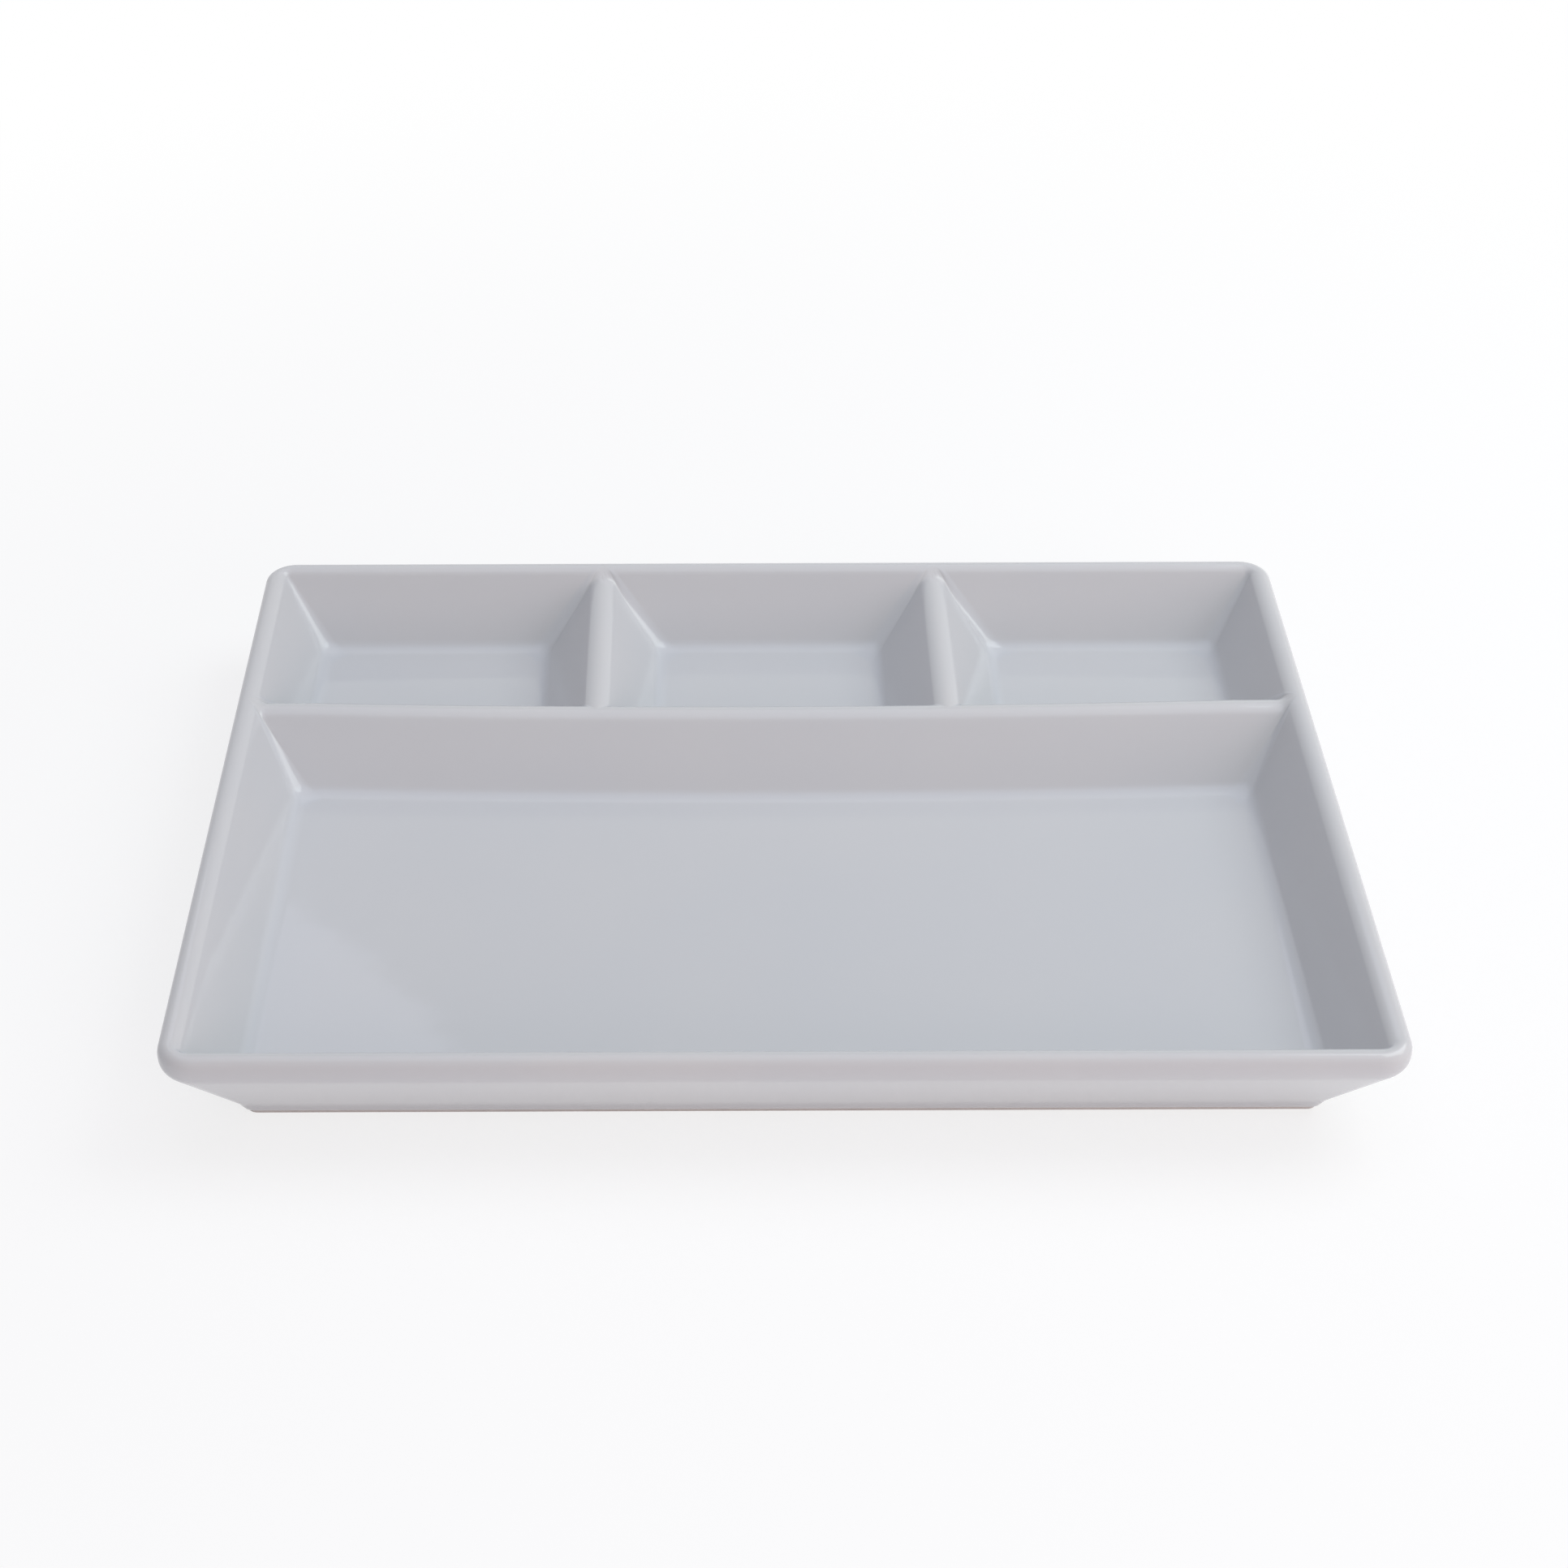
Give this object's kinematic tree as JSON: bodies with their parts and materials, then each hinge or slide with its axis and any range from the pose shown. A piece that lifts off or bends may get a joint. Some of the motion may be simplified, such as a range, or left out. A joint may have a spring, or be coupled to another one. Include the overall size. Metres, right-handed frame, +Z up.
{
  "type": "divided snack dish",
  "caption": "Rectangular glazed porcelain serving dish with a rounded rim, slanted walls, low foot, a large front well and a row of smaller wells behind it for dips and snacks.",
  "frame": {"origin": "middle of the dish on the surface it stands on, at the level of the foot", "axes": "+Z up, +X along the long side, +Y from the large well towards the row of small wells"},
  "size_m": [0.24, 0.185, 0.025],
  "materials": {
    "bisque_porcelain": "bare fired porcelain, matt and slightly warm white",
    "clear_gloss_glaze": "smooth gloss glaze, cool white",
    "underside_glaze": "gloss glaze, a little thinner and less even than on top"
  },
  "bodies": {
    "root": {"porcelain_body": "bisque_porcelain", "glaze_coat": "clear_gloss_glaze", "underside_glaze": "underside_glaze"}
  },
  "joints": []
}
